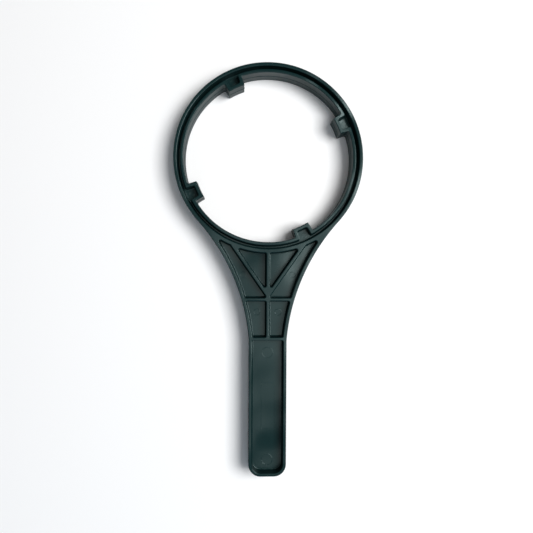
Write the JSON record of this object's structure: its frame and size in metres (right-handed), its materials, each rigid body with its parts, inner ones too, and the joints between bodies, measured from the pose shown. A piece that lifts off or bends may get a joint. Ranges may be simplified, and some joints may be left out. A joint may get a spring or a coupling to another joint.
{
  "type": "filter housing wrench",
  "caption": "One-piece moulded ring wrench for round water-filter housings, with inward driving lugs, a ribbed flared neck and a flat bar handle.",
  "frame": {"origin": "on the axis of the hoop, at the lower face that the tool lies on", "axes": "+Z along the axis of the hoop, upwards; the handle runs along -Y; +X to the right of the handle seen from above"},
  "size_m": [0.1334, 0.2902, 0.018],
  "materials": {
    "moulding": "satin"
  },
  "bodies": {
    "root": {"centre_rib_lower": "moulding", "centre_rib_upper": "moulding", "diagonal_rib_left": "moulding", "diagonal_rib_right": "moulding", "handle_cross_rib": "moulding", "handle_end_rim": "moulding", "handle_rim_left": "moulding", "handle_rim_right": "moulding", "handle_web": "moulding", "hoop_inner_rim_1": "moulding", "hoop_inner_rim_2": "moulding", "hoop_inner_rim_3": "moulding", "hoop_inner_rim_4": "moulding", "hoop_outer_rim": "moulding", "lug_1": "moulding", "lug_2": "moulding", "lug_3": "moulding", "lug_4": "moulding", "neck_cross_rib": "moulding", "neck_rim_left": "moulding", "neck_rim_right": "moulding", "neck_web_inner_left": "moulding", "neck_web_inner_right": "moulding", "neck_web_lower_left": "moulding", "neck_web_lower_right": "moulding", "neck_web_outer_left": "moulding", "neck_web_outer_right": "moulding"}
  },
  "joints": []
}
